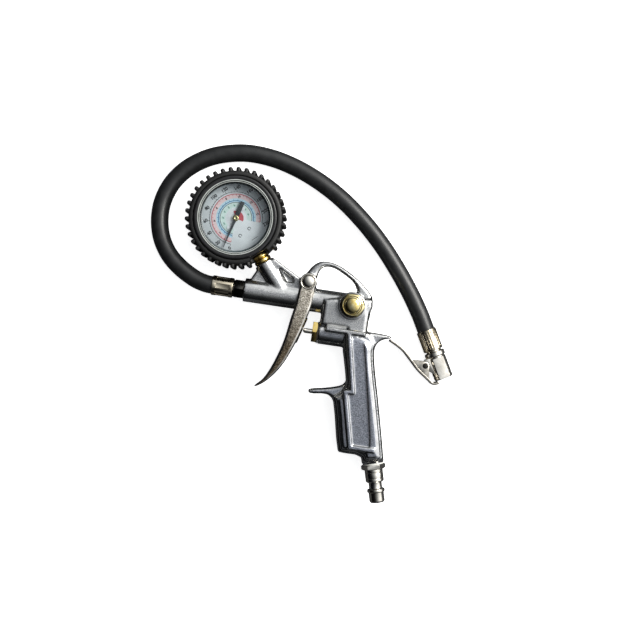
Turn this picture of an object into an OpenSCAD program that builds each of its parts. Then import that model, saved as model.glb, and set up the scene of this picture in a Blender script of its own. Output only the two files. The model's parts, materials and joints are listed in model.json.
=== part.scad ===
// Pistol-grip tyre inflator: a cast body with a trigger valve, a bleed button,
// a dial gauge in a ribbed rubber boot, a hose and a clip-on tyre chuck.
// It lies on its side. +Z is up and the dial faces up. The barrel runs along X with
// the hose outlet towards -X, and the grip points towards -Y.
// Outlines are drawn from the middle of the barrel's front face and then moved so
// that the origin is under the middle of the gun. Lengths are in millimetres.

/* [Body] */
// Outside diameter of the barrel
barrel_d = 16; // [15:0.5:16.4]
// Thickness of the grip
grip_t = 22; // [20:1:23]
// Thickness of the valve block
block_t = 19; // [18:0.5:21]
// Thickness of the hanging hook
hook_t = 9; // [6:1:12]
// Diameter of the air inlet boss
inlet_boss_d = 15.2; // [14.6:0.2:16]

/* [Trigger] */
// Width of the trigger across its two cheeks
trigger_t = 21.6; // [21:0.2:22.2]
// Diameter of the pivot rivet
pin_d = 5; // [4:0.5:6]

/* [Valves] */
// Diameter of the trigger valve's stem
stem_d = 3.3; // [2.8:0.1:3.5]
// Width across flats of the gland nut
gland_af = 13.6; // [12.6:0.2:14]
// Width across flats of the bleed valve's housing
bleed_af = 14.8; // [14.4:0.2:15.4]
// Travel of the bleed button
bleed_travel = 2; // [1:0.5:2.5]

/* [Gauge] */
// Diameter of the rubber boot without its ribs
boot_d = 63; // [62.6:0.2:64]
// Number of ribs round the boot
rib_count = 38; // [30:2:42]
// How far the ribs stand out
rib_h = 2.5; // [1.5:0.5:3]
// Diameter of the gauge's steel case
case_d = 56; // [55:0.5:57]
// Diameter of the dial
dial_d = 48; // [46:0.5:49]
// Teeth of the pointer's pinion
pinion_teeth = 10; // [10:1:10]
// Teeth that a full circle of the sector would have, eight for each of the pinion's
sector_teeth = 80; // [80:1:80]
// Angle of the pointer's full sweep
dial_sweep = 270; // [240:10:270]

/* [Hose and chuck] */
// Outside diameter of the hose
hose_d = 12; // [10:0.5:12]
// Diameter of the crimped ferrules
ferrule_d = 13.5; // [13:0.1:14]
// Diameter of the chuck's body
chuck_d = 13; // [12.6:0.2:13.6]
// Diameter of the mouth that goes over a tyre valve
mouth_d = 8.2; // [8:0.1:8.6]

/* [Inlet plug] */
// Diameter of the quick coupler's nose
nose_d = 10.4; // [10:0.2:10.8]
// Length of the nose
nose_len = 6; // [5:0.5:7]

/* [Hidden] */
$fn = 48;

fit_gap = 0.04;
skin = 0.02;

// Where the drawing's zero sits from the origin, and the barrel's height.
draw_x = -34.67;
draw_y = 25.02;
mid_z = 13;

barrel_r = barrel_d / 2;
barrel_end = 87;

// Trigger
pivot = [42.5, 11.65];
cheek_gap = barrel_d + 0.7;
slot_y = -12.5;
trigger_outline = [
  [37.2, 13], [36.6, 5], [35.9, -4.9], [34.2, -13.7], [32.5, -26.9], [30.3, -36.5],
  [26, -49.3], [21.3, -58.6], [15.2, -64], [18.4, -63.2], [24.4, -58.8], [30.8, -51.1],
  [35.1, -43.1], [39.2, -32.5], [42.6, -22], [45.4, -11], [47, -4], [47.6, 4], [47.9, 13],
  [42.5, 18.4]
];
// The flat that pushes the stem runs between these two points.
push_top = [45.9, -12];
push_low = [40.6, -30.5];

// Trigger valve
valve_y = -21.3;
stem_r = stem_d / 2;
stem_tip = 43.55;
block_x = 54;
chamber_r = 5.6;
seat_x = 60;
chamber_end = 82;
port_r = 1.6;

// Bleed valve
bleed_x = 74;
bleed_seat_z = 23;
bleed_head_z = 3 + bleed_travel;
bleed_nose_r = 5;

// Gauge
gauge = [-12.2, 46.7];
gauge_turn = -49.3;
boot_r = boot_d / 2;
boot_t = 27;
gear_module = 1 / 3;
gear_gap = gear_module * (pinion_teeth + sector_teeth) / 2;
sector_turn = 20;
tube_r = 20.5;
tube_start = gauge_turn - 10.5;
tube_arc = 250;
tip_turn = tube_start - tube_arc;
tube_low = 6;
tube_w = 5;
link_z = 11.3;
link_w = 1;
link_arm = 5;
link_pin_r = 0.5;
arbor_r = 0.6;
sector_pin_r = 0.7;
pillar_r = 0.9;
plate_t = 1.2;
back_plate_z = 6;
front_plate_z = 14;
dial_z = 18.8;
post_r = 8;
screw_r = 0.8;
post_places = [20, 200];

// Chuck: its axis starts where the hose ends and leans from -Y towards +X.
hose_end = [126.8, -9];
chuck_lean = 29;
chuck_z = 7;
ferrule_len = 14.5;
insert_r = 3.4;
lever_pin_r = 1.5;
chuck_low = 35;
lever_pin = [9.3, 22.3];

// Inlet: the boss's end face, and its lean from -Y towards +X.
inlet = [103.8, -103.4];
inlet_lean = 15;

// The hose's route, from the front ferrule to the rear one.
hose_sides = 12;
hose_route = [
  [-22, 0, 13], [-27, 0.4, 13], [-35, 2.8, 12.7], [-46, 9, 12], [-55, 17, 10.8],
  [-61.5, 27.5, 9.2], [-64.8, 40, 7.6], [-64.4, 53, 6.5], [-59.4, 66.4, 6.1],
  [-49.8, 78, 6], [-36, 87, 6], [-19.5, 92, 6], [-4, 93, 6], [14, 90.4, 6],
  [34, 83.6, 6], [54, 73, 6], [72, 59.6, 6], [87, 45.6, 6], [100, 30.8, 6],
  [111.5, 15.8, 6.2], [120.6, 2, 6.8], [124, -4, 7], [126.8, -9, 7]
];

// ---- helpers ----

// Cuts the corners of a closed outline, twice as fine at each pass.
function rounded(points, passes) = passes == 0 ? points : rounded(
  [for (i = [0:len(points) - 1])
    let (a = points[i], b = points[(i + 1) % len(points)])
    each [a * 0.75 + b * 0.25, a * 0.25 + b * 0.75]],
  passes - 1);

// A point on a smooth curve through four points, between the middle two.
function on_curve(a, b, c, d, t) =
  0.5 * (2 * b + (c - a) * t + (2 * a - 5 * b + 4 * c - d) * t * t
    + (3 * b - a - 3 * c + d) * t * t * t);

function unit(v) = v / norm(v);

// A round tube swept along a path, as one closed mesh.
module sweep(path, r, sides) {
  last = len(path) - 1;
  ahead = [for (i = [0:last]) unit(path[min(i + 1, last)] - path[max(i - 1, 0)])];
  rings = [for (i = [0:last])
    let (u = unit(cross(ahead[i], [0, 0, 1])), v = cross(ahead[i], u))
    for (k = [0:sides - 1])
      path[i] + r * (cos(k * 360 / sides) * u + sin(k * 360 / sides) * v)];
  walls = [for (i = [0:last - 1], k = [0:sides - 1])
    let (a = i * sides, m = (k + 1) % sides)
    each [[a + k, a + m, a + sides + k], [a + m, a + sides + m, a + sides + k]]];
  first_cap = [for (k = [0:sides - 1]) sides - 1 - k];
  last_cap = [for (k = [0:sides - 1]) last * sides + k];
  polyhedron(rings, concat(walls, [first_cap, last_cap]));
}

// A coil of round wire along +Z, from z = 0 to its length.
module coil(r, wire, turns, length, steps = 14) {
  path = [for (i = [0:turns * steps])
    [r * cos(i * 360 / steps), r * sin(i * 360 / steps),
     wire / 2 + (length - wire) * i / (turns * steps)]];
  sweep(path, wire / 2, 6);
}

module ring(outer, inner, height) {
  difference() {
    cylinder(r = outer, h = height);
    translate([0, 0, -1]) cylinder(r = inner, h = height + 2);
  }
}

// An O-ring's round section turned about Z.
module o_ring(r, section) {
  rotate_extrude() translate([r, 0]) circle(r = section / 2, $fn = 24);
}

module hexagon(af, height) {
  cylinder(r = af / 2 / cos(30), h = height, $fn = 6);
}

// Moves the drawing's zero to its place.
module drawn() { translate([draw_x, draw_y, 0]) children(); }

// Lays +Z along +X at a height y of the drawing.
module along_x(x, y = 0) {
  drawn() translate([x, y, mid_z]) rotate([0, 90, 0]) children();
}

// Stands +Z up at a point of the drawing.
module upright(point, z = 0) {
  drawn() translate([point[0], point[1], z]) children();
}

// Lays +Z along the gauge's stem, with z = 0 at the gauge's centre.
module along_stem() {
  drawn() translate([gauge[0], gauge[1], mid_z]) rotate([0, 90, gauge_turn]) children();
}

// Lays +Z along the inlet, out of the boss.
module along_inlet() {
  drawn() translate([inlet[0], inlet[1], mid_z]) rotate([90, 0, inlet_lean]) children();
}

// Lays +Z along the chuck. +X is then the lever's side and +Y is down.
module along_chuck(s = 0) {
  drawn() translate([hose_end[0], hose_end[1], chuck_z])
    rotate([90, 0, chuck_lean]) rotate([0, 0, 180]) translate([0, 0, s]) children();
}

// A flat plate about the barrel's height.
module plate(thickness, outline) {
  drawn() translate([0, 0, mid_z]) linear_extrude(thickness, center = true)
    polygon(outline);
}

// A cast plate whose edges are rounded in four steps, also round a hole.
module cast_plate(thickness, outline, edge, hole = []) {
  for (a = [12, 34, 56, 78])
    drawn() translate([0, 0, mid_z])
      linear_extrude(thickness - 2 * edge * (1 - sin(a)), center = true)
        offset(delta = -edge * (1 - cos(a))) difference() {
          polygon(outline);
          if (len(hole) > 0) polygon(hole);
        }
}

// ---- body ----

// Left of the grip the block ends above the valve's round boss, which then shows.
block_outline = [
  [54, 2], [54, -16.5], [72, -16.5], [75, -30], [92, -30], [94, -23.5], [90, -17.5], [86.6, -15.8],
  [86.5, -3], [88, 0.6], [87.2, 6.2], [78, 6.5]
];
grip_outline = [
  [71.2, -17], [71.8, -29.8], [73.6, -36], [77.2, -50], [77.4, -54], [74.4, -59],
  [68.6, -62], [71.6, -67.8], [78.2, -98.4], [80.4, -99.4], [94.4, -99.2], [96.4, -104.6],
  [110.6, -101.2], [108.8, -92.1], [101.1, -60.7], [97, -45.7], [93.7, -31.9],
  [93.2, -25], [88, -19]
];
guard_outline = [
  [82, -50], [77.2, -51.6], [75.4, -54.6], [66, -57.6], [53.6, -59.8], [52.6, -61.6],
  [55, -63], [64.2, -61.4], [68.8, -62.7], [72, -68], [84, -68]
];
spur_outline = [
  [84, -15.9], [98, -15.9], [104.2, -16.9], [103.6, -18.2], [98.4, -19.4], [94.6, -22.4],
  [93.2, -26.4], [93.4, -32], [84, -32]
];
hook_outer = [
  [36.5, 8], [38.6, 15], [46, 26.6], [57, 27.4], [68, 23], [79, 15.8], [87.8, 7.4],
  [87.6, 0], [60, -4], [40, -2]
];
hook_inner = [
  [48.9, 4], [47.8, 10], [47.8, 18], [50.5, 23.4], [57.5, 24.1], [65.5, 20.4], [73, 16],
  [76.4, 10], [76.6, 4]
];
web_outline = [
  [15.4, 23.6], [17.4, 23.9], [36.6, 13.3], [40, 6], [24, 1], [10, 14]
];
web_recess = [[20.4, 18.6], [32, 12.1], [32.6, 9.2], [25.8, 9.2]];
left_web = [[2.6, 5], [3.9, 9], [6.6, 14.6], [14, 13], [14, 4]];
// The raised rib that frames the grip's panel, and the panel sunk behind it.
rib_w = 2.6;
rib_h_above = 0.8;
panel_depth = 0.7;
rib_route = [
  [60, -18], [74.4, -18], [82.6, -57.4], [77.8, -58.2], [86.4, -94.2], [101.8, -94.2]
];
rib_tail = [[72, -18], [84.4, -18]];
panel_recess = [
  [75.8, -19.2], [84.6, -19.2], [89.9, -42], [94.2, -63], [99.2, -88], [99.6, -93],
  [87.7, -93], [79.6, -59], [84.4, -58.2]
];

// A bar of one width along a bent line.
module bar(line, w) {
  for (i = [0:len(line) - 2])
    let (a = line[i], run = line[i + 1] - a)
    translate(a) rotate(atan2(run[1], run[0])) translate([-w / 2, -w / 2])
      square([norm(run) + w, w]);
}

module cast_shape() {
  along_x(0) cylinder(r = barrel_r, h = barrel_end);
  along_x(block_x, valve_y) cylinder(r = 7.6, h = 19);
  cast_plate(block_t, block_outline, 3);
  cast_plate(grip_t, rounded(grip_outline, 1), 5.5);
  cast_plate(13, rounded(guard_outline, 1), 2);
  cast_plate(block_t - 3, rounded(spur_outline, 1), 2);
  cast_plate(hook_t, rounded(hook_outer, 2), 2, rounded(hook_inner, 2));
  upright(pivot, mid_z - barrel_r) cylinder(r = 5.8, h = barrel_d);
  upright([bleed_x, 0], mid_z) cylinder(r = 9.2, h = bleed_seat_z - mid_z);
  along_stem() translate([0, 0, 35]) cylinder(r = 7, h = 26);
  difference() {
    cast_plate(11, web_outline, 1);
    for (side = [-1, 1]) translate([0, 0, side * 6.5]) plate(8, web_recess);
  }
  cast_plate(8, left_web, 1);
  along_inlet() translate([0, 0, -18]) cylinder(r = inlet_boss_d / 2, h = 18);
}

module gun_body() color("#b9bcbe") difference() {
  union() {
    difference() {
      cast_shape();
      translate([0, 0, (grip_t + 2) / 2 - panel_depth]) plate(2, panel_recess);
    }
    upright([0, 0], mid_z) linear_extrude(grip_t / 2 + rib_h_above) union() {
      bar(rib_route, rib_w);
      bar(rib_tail, rib_w);
    }
  }
  // air way in the barrel, with the hose outlet's wider mouth
  along_x(-1) cylinder(r = 3.2, h = 72);
  along_x(-1) cylinder(r = 4.8 + skin, h = 10);
  // gauge port
  along_stem() translate([0, 0, 34]) cylinder(r = 4.6 + skin, h = 13);
  along_stem() translate([0, 0, 45]) cylinder(r = 2, h = 16);
  // valve chamber, the port up to the barrel and the way up the grip
  along_x(block_x - 1, valve_y) cylinder(r = chamber_r, h = chamber_end - block_x + 1);
  upright([57.5, valve_y]) translate([0, 0, mid_z]) rotate([-90, 0, 0]) cylinder(r = port_r, h = 21);
  along_inlet() translate([0, 0, -86]) cylinder(r = 3, h = 87);
  along_inlet() translate([0, 0, -10]) cylinder(r = 5 + skin, h = 11);
  // bleed valve's seat
  upright([bleed_x, 0], 8.5) cylinder(r = bleed_nose_r + skin, h = 17.5);
  // pivot hole
  upright(pivot, -1) cylinder(r = pin_d / 2 + skin, h = 30);
}

module trigger() color("#8f8577") difference() {
  union() {
    cast_plate(trigger_t, rounded(trigger_outline, 2), 1.8);
    plate(12, [push_top, push_low, push_low - [5, 0], push_top - [5, 0]]);
  }
  drawn() translate([0, slot_y, mid_z - cheek_gap / 2]) cube([60, 40, cheek_gap]);
  upright(pivot, -1) cylinder(r = pin_d / 2 + fit_gap, h = 30);
}

module trigger_pin() color("#d6d8da") {
  head = mid_z + trigger_t / 2 + 0.1;
  upright(pivot, mid_z - trigger_t / 2 - 0.1) cylinder(r = pin_d / 2, h = trigger_t + 0.2);
  upright(pivot, head) rotate_extrude() intersection() {
    translate([0, -3.2]) circle(r = 5.2);
    square([4.1, 3]);
  }
  upright(pivot, mid_z - trigger_t / 2 - 1.9) cylinder(r = 4.6, h = 1.8);
}

// ---- trigger valve ----

module gland_nut() color("#caa24a") along_x(block_x, valve_y) difference() {
  union() {
    translate([0, 0, -4.2]) hexagon(gland_af, 3.4);
    translate([0, 0, -1.5]) cylinder(r = chamber_r - skin, h = seat_x - block_x + 1.5);
  }
  translate([0, 0, -5]) cylinder(r = stem_r + fit_gap, h = 20);
  translate([0, 0, -0.5]) cylinder(r = 3.2, h = 10);
  translate([0, 0, 3.5]) rotate([0, 90, 0]) cylinder(r = port_r, h = 20, center = true);
}

module gland_washer() color("#3a3634") along_x(block_x - 0.8, valve_y) ring(7.4, chamber_r, 0.8);

module stem_o_ring() color("#1c1c1c") along_x(block_x + 0.4, valve_y) o_ring(2.44, 1.5);

module valve_stem() color("#d9dbdc") {
  along_x(stem_tip + stem_r, valve_y) cylinder(r = stem_r, h = 19.6 - stem_r);
  along_x(stem_tip + stem_r, valve_y) sphere(r = stem_r);
}

module valve_poppet() color("#c9a452") along_x(seat_x + 1.3, valve_y) difference() {
  union() {
    cylinder(r = 4.6, h = 2.2);
    translate([0, 0, 2]) cylinder(r = 2.4, h = 3);
  }
  translate([0, 0, -1]) cylinder(r = stem_r + skin, h = stem_tip + 19.6 - seat_x - 0.3 + skin);
}

module poppet_seal() color("#202020") along_x(seat_x + 0.1, valve_y) ring(4.5, stem_r + skin, 1.2);

module valve_spring() color("#c8ccd0") along_x(seat_x + 3.6, valve_y)
  coil(3.7, 0.8, 6, chamber_end - seat_x - 3.7);

// ---- bleed valve ----

module bleed_housing() color("#caa24a") upright([bleed_x, 0], bleed_seat_z) difference() {
  union() {
    intersection() {
      translate([0, 0, 0.8]) hexagon(bleed_af, 4.6);
      rotate_extrude() polygon([[0, 0], [bleed_af / 2, 0], [bleed_af / 2 + 1.3, 1.5],
        [bleed_af / 2 + 1.3, 3.4], [bleed_af / 2 - 0.7, 5.4], [0, 5.4]]);
    }
    translate([0, 0, -9]) cylinder(r = bleed_nose_r, h = 10);
  }
  translate([0, 0, 2.6]) cylinder(r = 6.4, h = 5);
  translate([0, 0, -4.5]) cylinder(r = 3.6, h = 9);
  translate([0, 0, -10]) cylinder(r = 1.6 + fit_gap, h = 10);
}

module bleed_washer() color("#3a3634") upright([bleed_x, 0], bleed_seat_z) ring(8.4, 5.1, 0.8);

module bleed_button() color("#d8b860") upright([bleed_x, 0], bleed_seat_z) {
  translate([0, 0, bleed_head_z]) rotate_extrude() union() {
    square([6, 0.8]);
    intersection() {
      translate([0, -6.2]) circle(r = 9.1);
      square([6, 4]);
    }
  }
  translate([0, 0, -11.6]) cylinder(r = 1.6, h = 11.8 + bleed_head_z);
  translate([0, 0, -11.6]) cylinder(r = 2.7, h = 0.8);
}

module bleed_o_ring() color("#1c1c1c") upright([bleed_x, 0], bleed_seat_z - 9.9) o_ring(2.5, 1.7);

module bleed_spring() color("#c8ccd0") upright([bleed_x, 0], bleed_seat_z - 4.4)
  coil(2.9, 0.6, 5, 4.2 + bleed_head_z);

// ---- gauge ----

module gauge_stem() color("#caa24a") along_stem() difference() {
  union() {
    translate([0, 0, 22.6]) cylinder(r = 4.6, h = 7);
    translate([0, 0, 28.6]) cylinder(r = 6, h = 6.35);
    translate([0, 0, 34.5]) cylinder(r = 4.6, h = 10);
    translate([-1, -3.4, 14]) cube([6.8, 6.8, 11]);
  }
  translate([0, 0, 20]) cylinder(r = 1.4, h = 26);
}

module gauge_case() color("#2b2b2d") difference() {
  upright(gauge, 2.5) cylinder(r = case_d / 2, h = 21.5);
  upright(gauge, 3.7) cylinder(r = case_d / 2 - 1.2, h = 22);
  along_stem() translate([0, 0, 20]) cylinder(r = 4.7, h = 15);
}

// The boot's ribbed outline, rib by rib.
boot_outline = [for (k = [0:rib_count - 1], q = [0:5])
  let (step = 360 / rib_count, a = k * step,
    part = [[-0.24, 0], [-0.2, 0.8], [-0.1, 1], [0.1, 1], [0.2, 0.8], [0.24, 0]][q],
    r = boot_r + rib_h * part[1])
  r * [cos(a + part[0] * step), sin(a + part[0] * step)]];

module gauge_boot() color("#232323") difference() {
  upright(gauge, 0) linear_extrude(boot_t) polygon(boot_outline);
  upright(gauge, 2.4) cylinder(r = case_d / 2 + 0.1, h = 30);
  along_stem() translate([0, 0, 20]) cylinder(r = 6.3, h = 20);
  upright(gauge, 0) rotate([0, 0, gauge_turn]) translate([28.4, -7, mid_z + 3.6]) cube([9, 14, 20]);
}

module gauge_bezel() color("#1f1f21") upright(gauge) difference() {
  union() {
    translate([0, 0, 24.1]) cylinder(r = case_d / 2, h = 3.6);
    translate([0, 0, 27.6]) cylinder(r = case_d / 2 - 0.9, h = 1.4);
  }
  translate([0, 0, 23]) cylinder(r = case_d / 2 - 1.6, h = 4.4);
  translate([0, 0, 23]) cylinder(r = dial_d / 2 + 0.4, h = 10);
}

module gauge_lens() color("#dfeaf0", 0.35) upright(gauge, 25.4) cylinder(r = case_d / 2 - 1.7, h = 2);

module lens_gasket() color("#2a2a2a") upright(gauge, 24.3) ring(case_d / 2 - 1.8, 24.6, 1);

// The dial's two screw posts.
module at_posts() {
  for (a = post_places) rotate([0, 0, gauge_turn + a]) translate([0, post_r, 0]) children();
}

module gauge_dial() color("#f2f2ee") upright(gauge) difference() {
  translate([0, 0, dial_z]) cylinder(r = dial_d / 2, h = 0.6);
  translate([0, 0, 18]) cylinder(r = 1.6, h = 2);
  at_posts() translate([0, 0, 18]) cylinder(r = screw_r + skin, h = 2);
}

module dial_screws() color("#b9a46a") upright(gauge) at_posts() {
  translate([0, 0, 15.6]) cylinder(r = screw_r, h = 3.9);
  translate([0, 0, dial_z + 0.65]) cylinder(r = 1.3, h = 0.5);
}

// Where the pointer lies at rest, and where the sector's pivot is.
pointer_turn = 255;
sector_pivot = gauge + gear_gap * [cos(sector_turn), sin(sector_turn)];
link_turn = -30;

module pointer() color("#181818") upright(gauge, 20.6) rotate([0, 0, pointer_turn]) difference() {
  union() {
    linear_extrude(0.6) polygon([[-11.9, -1.45], [-11.9, 1.45], [-2, 1.45], [2.5, 1.1],
      [21.5, 0.2], [21.5, -0.2], [2.5, -1.1], [-2, -1.45]]);
    translate([0, 0, -0.4]) cylinder(r = 2, h = 1.6);
  }
  translate([0, 0, -1]) cylinder(r = arbor_r + skin, h = 4);
}

// A straight-sided tooth that narrows to its tip.
module gear(teeth, first, last) {
  pitch_r = gear_module * teeth / 2;
  root_r = pitch_r - gear_module * 1.25;
  tip_r = pitch_r + gear_module * 0.85;
  step = 360 / teeth;
  circle(r = root_r + 0.01);
  for (k = [first:last]) rotate([0, 0, k * step])
    polygon([for (side = [[root_r - 0.3, -0.2], [pitch_r, -0.17], [tip_r, -0.07],
        [tip_r, 0.07], [pitch_r, 0.17], [root_r - 0.3, 0.2]])
      side[0] * [cos(side[1] * step), sin(side[1] * step)]]);
}

module pinion() color("#caa24a") upright(gauge) {
  translate([0, 0, 8.8]) rotate([0, 0, sector_turn + 18]) linear_extrude(2.4) gear(pinion_teeth, 0, 9);
  translate([0, 0, 6.3]) cylinder(r = arbor_r, h = 15.2);
}

module sector_gear() color("#caa24a") upright(sector_pivot) difference() {
  union() {
    translate([0, 0, 9.4]) linear_extrude(1) difference() {
      rotate([0, 0, sector_turn + 180]) intersection() {
        gear(sector_teeth, -2 - round(dial_sweep / 360 * pinion_teeth), 2);
        polygon([[0.5, 1.9], [16, 3.1], [16, -10.9], [9.3, -10.9], [-0.8, -1.7], [-1.5, 0]]);
      }
      rotate([0, 0, sector_turn + 180 - 18]) polygon([[4, -0.9], [9.5, -2.3], [9.5, 2.3], [4, 0.9]]);
    }
    translate([0, 0, 8]) cylinder(r = 1.4, h = 2.8);
    translate([0, 0, 9.4]) rotate([0, 0, link_turn]) translate([0, -1.1, 0]) cube([link_arm + 0.6, 2.2, 1]);
    rotate([0, 0, link_turn]) translate([link_arm, 0, 9.5]) cylinder(r = link_pin_r, h = 2.8);
  }
  translate([0, 0, 7]) cylinder(r = sector_pin_r + fit_gap, h = 8);
}

plate_outline = rounded([
  [-11.5, -11.5], [-12.5, 0], [-11.5, 12], [0, 12], [12, 10.6], [17.4, 8], [17.8, 1],
  [13.4, -11], [9, -13.4], [0, -12]], 1);
pillar_places = [[-8, 8], [-8, -8]];
sector_place = sector_pivot - gauge;

// The holes of the two pillars and of the sector's fixed pin.
module pillar_holes(z) {
  translate([sector_place[0], sector_place[1], z]) cylinder(r = sector_pin_r + skin, h = 4);
  for (p = pillar_places) translate([p[0], p[1], z]) cylinder(r = pillar_r + skin, h = 4);
}

module movement_plate_front() color("#c4a15a") upright(gauge) difference() {
  union() {
    translate([0, 0, front_plate_z]) linear_extrude(plate_t) polygon(plate_outline);
    at_posts() translate([0, 0, front_plate_z + 0.2]) cylinder(r = 1.6, h = dial_z - front_plate_z - 0.2);
  }
  translate([0, 0, front_plate_z - 1]) cylinder(r = arbor_r + fit_gap, h = 4);
  at_posts() translate([0, 0, 15.5]) cylinder(r = screw_r + skin, h = 4);
  pillar_holes(front_plate_z - 1);
}

module movement_plate_back() color("#c4a15a") upright(gauge) difference() {
  translate([0, 0, back_plate_z]) linear_extrude(plate_t) polygon(plate_outline);
  translate([0, 0, back_plate_z - 1]) cylinder(r = arbor_r + fit_gap, h = 4);
  pillar_holes(back_plate_z - 1);
}

// Two pillars and the sector's fixed pin hold the two plates apart.
module plate_pillars() color("#d8c088") upright(gauge) {
  for (p = pillar_places) translate([p[0], p[1], 0]) {
    translate([0, 0, 5.2]) cylinder(r = pillar_r, h = 10.8);
    translate([0, 0, 7.2]) cylinder(r = 1.4, h = 6.8);
  }
  translate([sector_place[0], sector_place[1], back_plate_z]) cylinder(r = sector_pin_r, h = 9.2);
}

module bourdon_tube() color("#b98a4a") upright(gauge, tube_low + tube_w / 2) rotate([0, 0, tip_turn])
  rotate_extrude(angle = tube_arc) translate([tube_r, 0]) difference() {
    square([2.4, tube_w], center = true);
    square([1.4, tube_w - 1], center = true);
  }

module tube_tip() color("#caa24a") upright(gauge) rotate([0, 0, tip_turn]) {
  translate([tube_r - 1.4, -3.1, tube_low]) cube([2.8, 3, tube_w - 0.2]);
  translate([tube_r - 6.2, -2.9, 9]) cube([5.2, 2.8, 1.6]);
}

module movement_link() color("#caa24a") {
  tail = sector_pivot + link_arm * [cos(link_turn), sin(link_turn)];
  tip = gauge + (tube_r - 5) * [cos(tip_turn - 5), sin(tip_turn - 5)];
  reach = norm(tip - tail);
  turn = atan2(tip[1] - tail[1], tip[0] - tail[0]);
  upright(tail, link_z) rotate([0, 0, turn]) difference() {
    union() {
      cylinder(r = 1.2, h = 0.6);
      translate([0, -link_w / 2, 0]) cube([reach, link_w, 0.6]);
      translate([reach, 0, 0]) cylinder(r = 0.95, h = 0.6);
    }
    for (x = [0, reach]) translate([x, 0, -1]) cylinder(r = link_pin_r + fit_gap, h = 3);
  }
}

module hairspring() color("#9a8352") upright(gauge, 12.6)
  sweep([for (i = [0:60]) (0.9 + i * 0.045) * [cos(i * 20), sin(i * 20), 0]], 0.12, 6);

// ---- hose ----

module hose_fitting_front() color("#c9cbcc") along_x(0) difference() {
  union() {
    translate([0, 0, -6.7]) hexagon(12, 6.7);
    translate([0, 0, -0.5]) cylinder(r = 4.8, h = 9);
    translate([0, 0, -21.9]) cylinder(r = insert_r, h = 16);
    translate([0, 0, -7.5]) cylinder(r = 5.6, h = 1);
  }
  translate([0, 0, -30]) cylinder(r = 2.2, h = 60);
}

module ferrule_front() color("#c9cbcc") along_x(-22) ring(ferrule_d / 2, insert_r, ferrule_len);

hose_steps = 2;
hose_path = [for (i = [0:len(hose_route) - 2], k = [0:hose_steps - 1])
  on_curve(hose_route[max(i - 1, 0)], hose_route[i], hose_route[i + 1],
    hose_route[min(i + 2, len(hose_route) - 1)], k / hose_steps)];

module hose() color("#1e1e20") drawn()
  sweep(concat(hose_path, [hose_route[len(hose_route) - 1]]), hose_d / 2, hose_sides);

module ferrule_rear() color("#bdbab2") along_chuck() ring(ferrule_d / 2, insert_r, ferrule_len);

module hose_fitting_rear() color("#c9cbcc") along_chuck() difference() {
  union() {
    translate([0, 0, 0.1]) cylinder(r = insert_r, h = 15.4);
    translate([0, 0, ferrule_len]) cylinder(r = 5.2, h = 1);
    translate([0, 0, 15.4]) cylinder(r = 4.4, h = 6);
  }
  translate([0, 0, -1]) cylinder(r = 2, h = 24);
}

// ---- chuck ----

module chuck_body() color("#cdcfd0") along_chuck() difference() {
  union() {
    translate([0, 0, 15.5]) cylinder(r = 7, h = 3.6);
    translate([0, 0, 18]) cylinder(r = chuck_d / 2, h = chuck_low - 18);
    for (side = [-1, 1]) translate([0, side * 3.2, 0]) rotate([90, 0, 0])
      linear_extrude(2, center = true)
        polygon([[0, 18.6], [7.4, 18.6], [lever_pin[0] + 1.6, 20.2], [lever_pin[0] + 2.3, 23],
          [lever_pin[0] + 0.6, 25.2], [5, 30.5], [0, 30.5]]);
  }
  translate([0, 0, 14]) cylinder(r = 4.4 + skin, h = 7.4 + skin);
  translate([0, 0, 14]) cylinder(r = 2, h = 20);
  translate([0, 0, 24]) cylinder(r = 4.5 + skin, h = 2.6);
  translate([0, 0, 26]) cylinder(r = mouth_d / 2, h = 20);
  translate([lever_pin[0], 0, lever_pin[1]]) rotate([90, 0, 0])
    cylinder(r = lever_pin_r + skin, h = 20, center = true);
}

module chuck_seal() color("#26231f") along_chuck(24) ring(4.5, 1.7, 2.6);

module chuck_depressor() color("#c9a452") along_chuck(21.5) {
  cylinder(r = 1.95, h = 2.4);
  cylinder(r = 1.1, h = 4.9);
}

// The lever's pressed steel channel: a web with two cheeks and a jaw at its end.
lever_web = [
  [26.4, -2.2], [20.6, 7], [17.7, 15.6], [15.2, 24], [11.2, 32.4], [9.2, 36.4],
  [4.6, 37.1], [4.5, 35.7], [7.9, 35.1], [9.8, 31.8], [13.8, 23.4], [16.3, 15.2],
  [19.3, 6.3], [24.9, -2.9]
];
lever_cheek = [
  [17.4, 15.4], [15.2, 24], [11.2, 32.4], [9.9, 31.6], [8.2, 26], [6.8, 23.4], [7.2, 20.8],
  [9.8, 18.8], [15.6, 15.6]
];

module chuck_lever() color("#b9b4aa") along_chuck() difference() {
  rotate([90, 0, 0]) {
    linear_extrude(13, center = true) polygon(lever_web);
    for (side = [-1, 1]) translate([0, 0, side * 5.9])
      linear_extrude(1.2, center = true) polygon(lever_cheek);
  }
  translate([lever_pin[0], 0, lever_pin[1]]) rotate([90, 0, 0])
    cylinder(r = lever_pin_r + fit_gap, h = 20, center = true);
}

module chuck_lever_pin() color("#c9cbcc") along_chuck()
  translate([lever_pin[0], 0, lever_pin[1]]) rotate([90, 0, 0]) {
    cylinder(r = lever_pin_r, h = 13.4, center = true);
    for (side = [-1, 1]) translate([0, 0, side * 6.75]) cylinder(r = 2, h = 0.4, center = true);
  }

module chuck_spring() color("#c8ccd0") along_chuck()
  translate([lever_pin[0], 1.9, lever_pin[1]]) rotate([90, 0, 0]) coil(1.95, 0.6, 4, 3.8);

// ---- inlet ----

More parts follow.
